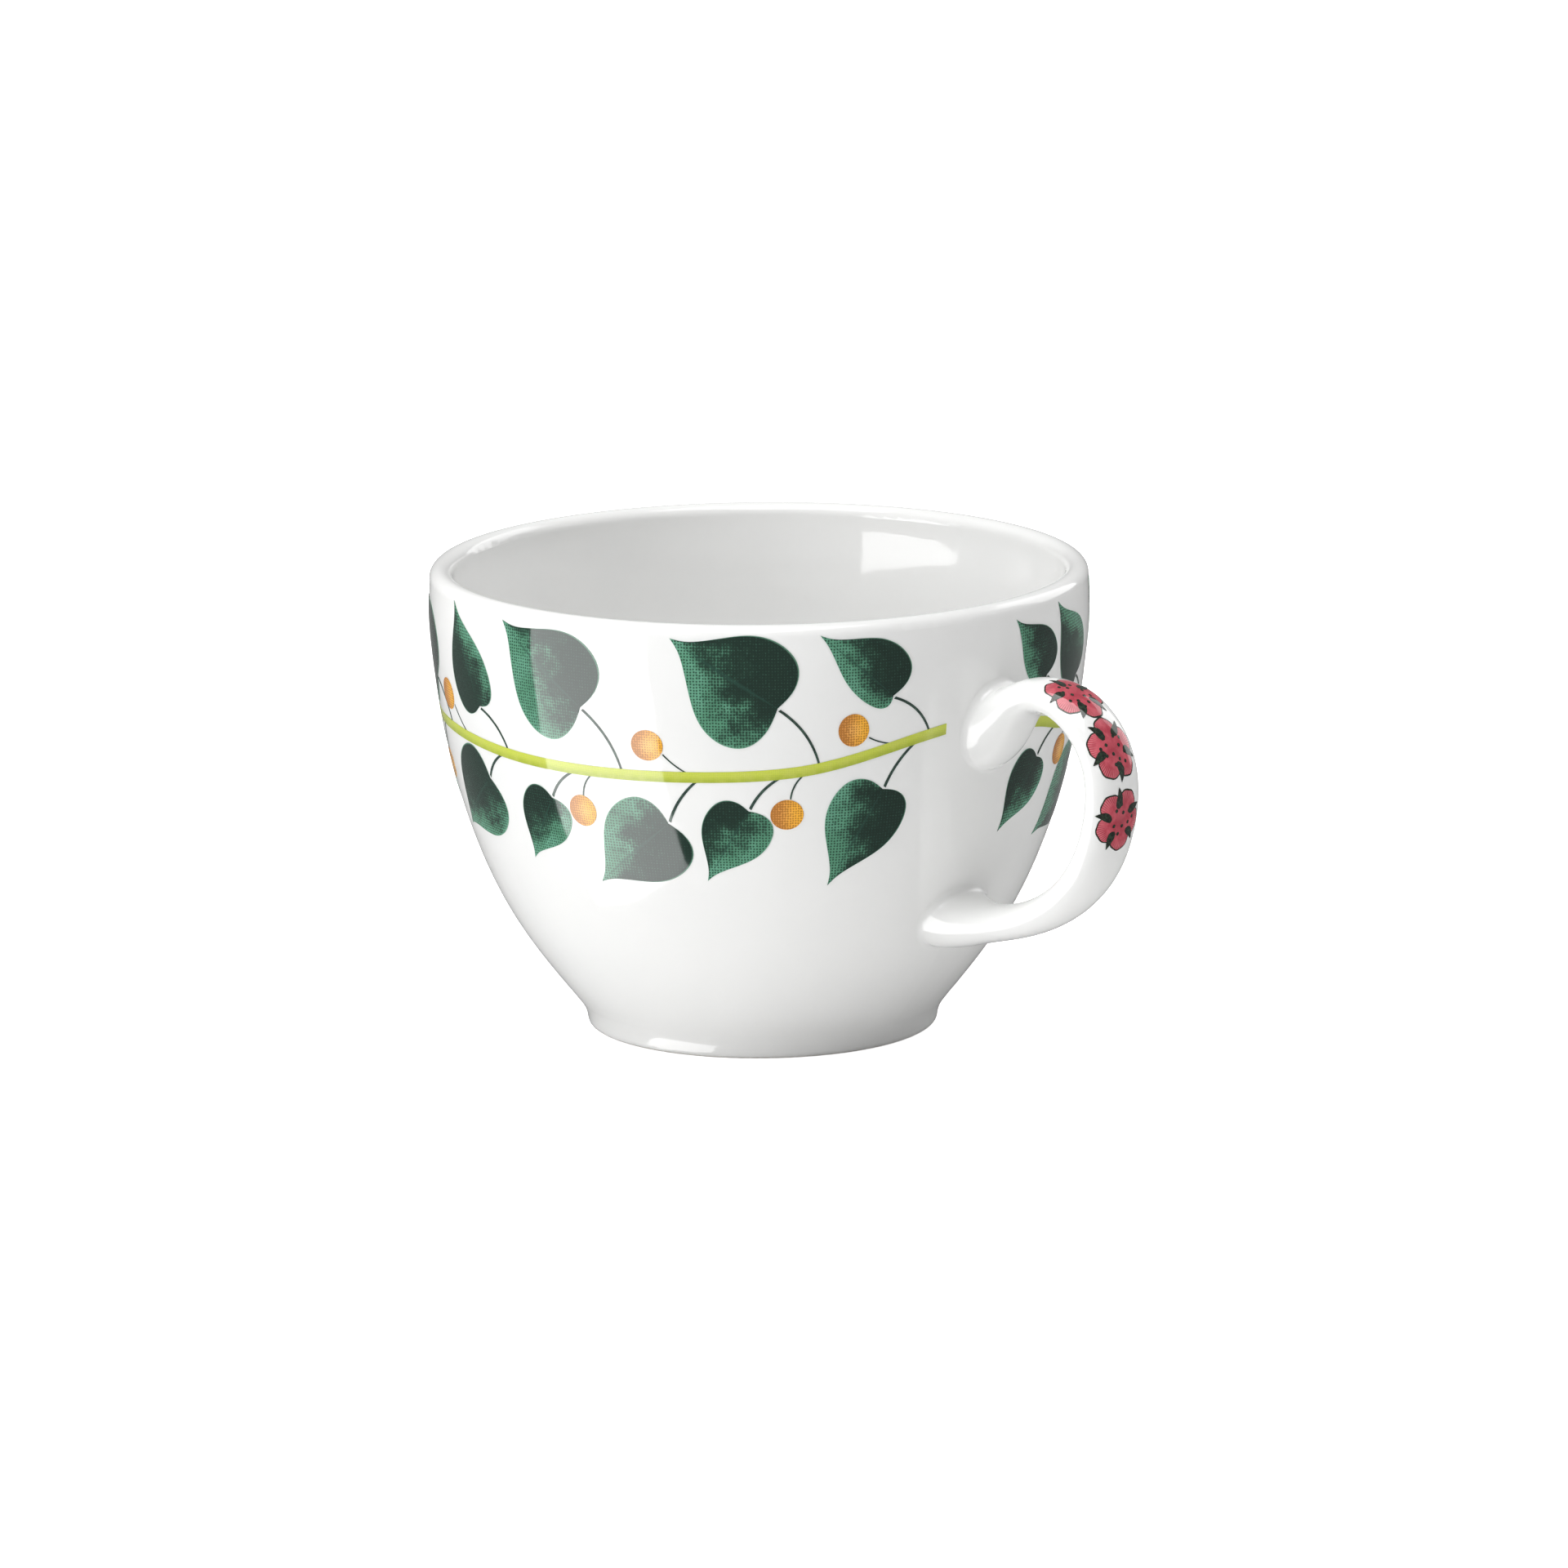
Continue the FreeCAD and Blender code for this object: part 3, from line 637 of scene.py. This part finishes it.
def lay_flower(number, reach, level, turn):
    """Petals on a dark ground that shows as their outline, then sepals and speckles."""
    middle = spine_mark(reach, level)
    turn = math.radians(turn)

    def bloom(extra):
        def spot(co):
            angle = math.atan2(co.y, co.x)
            edge = petal_reach(angle - turn) * FLOWER
            edge *= 1 + RIPPLE * math.sin(angle * 15 + number)
            edge = (edge + extra) * co.length
            return Vector((edge * math.cos(angle), edge * math.sin(angle), 0))
        return spot

    parts = [lay(pattern_bloom, bloom(0.0), middle, LIFT["petal_edge"], ink_enamel),
             lay(pattern_bloom, bloom(-0.2), middle, LIFT["petal"], rose_enamel)]
    for petal in range(5):
        notch = turn + math.pi * (2 * petal + 1) / 5

        def sepal(co):
            ahead = 1.5 + 2.5 * co.x
            half = 0.0
            if co.x > 0:
                half = 0.62 * math.sin(math.pi * co.x ** 0.7) ** 0.8 * (1 - 0.35 * co.x)
            over = half * co.y + 0.25 * math.sin(3 * co.x + petal)
            return Vector((ahead * math.cos(notch) - over * math.sin(notch),
                           ahead * math.sin(notch) + over * math.cos(notch), 0))
        parts.append(lay(pattern_sepal, sepal, middle, LIFT["sepal"], ink_enamel))
    for speck in range(SPECKS):
        away = 0.45 + 1.75 * math.sqrt((speck + 0.3) / SPECKS)
        swing = 2.4 * speck + number
        centre = Vector((away * math.cos(swing), away * math.sin(swing), 0))
        parts.append(lay(pattern_dot, lambda co: centre + co * SPECK, middle, LIFT["speck"],
                         ink_enamel))
    return parts


blooms = []
for number, (reach, level, turn) in enumerate(FLOWERS):
    blooms += lay_flower(number, reach, level, turn)
one_piece(blooms, "flowers", None, "flower_prints")
for pattern in (pattern_bloom, pattern_dot, pattern_sepal):
    bpy.data.objects.remove(pattern)

# ------------------------------------------------------------------ floor, light and camera
bpy.ops.mesh.primitive_plane_add(size=12, location=(0, 0, 0))
floor = bpy.context.object
floor.name = "floor"
pale = bpy.data.materials.new("pale floor")
pale.use_nodes = True
b = Nodes(pale.node_tree)
shader = pale.node_tree.nodes["Principled BSDF"]
shader.inputs["Base Color"].default_value = (0.90, 0.90, 0.90, 1)
shader.inputs["Roughness"].default_value = 0.9
shader.inputs["Specular IOR Level"].default_value = 0.0
shader.inputs["Emission Color"].default_value = (1, 1, 1, 1)
seen = b.add("ShaderNodeLightPath").outputs["Is Camera Ray"]
b.put(b.math("MULTIPLY", seen, 0.85), shader.inputs["Emission Strength"])
floor.data.materials.append(pale)
floor.visible_glossy = False

# The camera stands this far round from the front, towards the handle.
AZIMUTH, ELEVATION, DISTANCE = math.radians(44.43), math.radians(12.344), 1.4991
middle = Vector((0, 0, 0.03275))
back = Vector((math.sin(AZIMUTH), -math.cos(AZIMUTH), 0))
right = Vector((math.cos(AZIMUTH), math.sin(AZIMUTH), 0))


def softbox(name, turn, rise, distance, size, power, aim=middle, *, mirrored=True):
    """A soft box, in degrees to the right of the camera and above the cup.

    One that isn't mirrored only lights: the glaze doesn't show it.
    """
    lamp = bpy.data.lights.new(name, "AREA")
    lamp.shape = "RECTANGLE"
    lamp.size, lamp.size_y = size
    lamp.energy = power
    box = bpy.data.objects.new(name, lamp)
    scene.collection.objects.link(box)
    swing, tilt = math.radians(turn), math.radians(rise)
    level = back * math.cos(swing) + right * math.sin(swing)
    box.location = middle + (level * math.cos(tilt) + Vector((0, 0, math.sin(tilt)))) * distance
    box.rotation_euler = (aim - box.location).to_track_quat("-Z", "Y").to_euler()
    box.visible_glossy = mirrored
    box.visible_camera = mirrored


softbox("key_box", -62, -15, 1.2, (1.00, 1.60), 23)
softbox("key_fill", -62, -15, 1.2, (1.00, 1.60), 8, mirrored=False)
softbox("foot_fill", -50, 3, 0.42, (0.5, 0.07), 0.25, Vector((0, 0, 0.008)), mirrored=False)
softbox("back_box", 128, 25, 1.2, (0.7, 0.9), 4)
softbox("top_box", -30, 77, 1.4, (1.2, 1.2), 20)
softbox("fill_box", 76, 0, 1.3, (0.8, 1.3), 0.6)

sky = bpy.data.worlds.new("studio")
scene.world = sky
sky.use_nodes = True
b = Nodes(sky.node_tree)
backdrop = sky.node_tree.nodes["Background"]
backdrop.inputs["Color"].default_value = (1, 1, 1, 1)
seen = b.add("ShaderNodeLightPath").outputs["Is Camera Ray"]
b.put(b.ramp(seen, 0.0, 1.0, 0.245, 1.05), backdrop.inputs["Strength"])
scene.view_settings.view_transform = "Standard"

lens = bpy.data.cameras.new("camera")
camera = bpy.data.objects.new("camera", lens)
scene.collection.objects.link(camera)
camera.location = middle + (back * math.cos(ELEVATION)
                            + Vector((0, 0, math.sin(ELEVATION)))) * DISTANCE
camera.rotation_mode = "QUATERNION"
look = (middle - camera.location).to_track_quat("-Z", "Y")
camera.rotation_quaternion = look @ Quaternion((0, 0, 1), math.radians(-0.512))
lens.sensor_width = 36
lens.lens = 245.55
lens.shift_x, lens.shift_y = 0.01479, 0.00445
lens.clip_start, lens.clip_end = 0.01, 50
scene.camera = camera
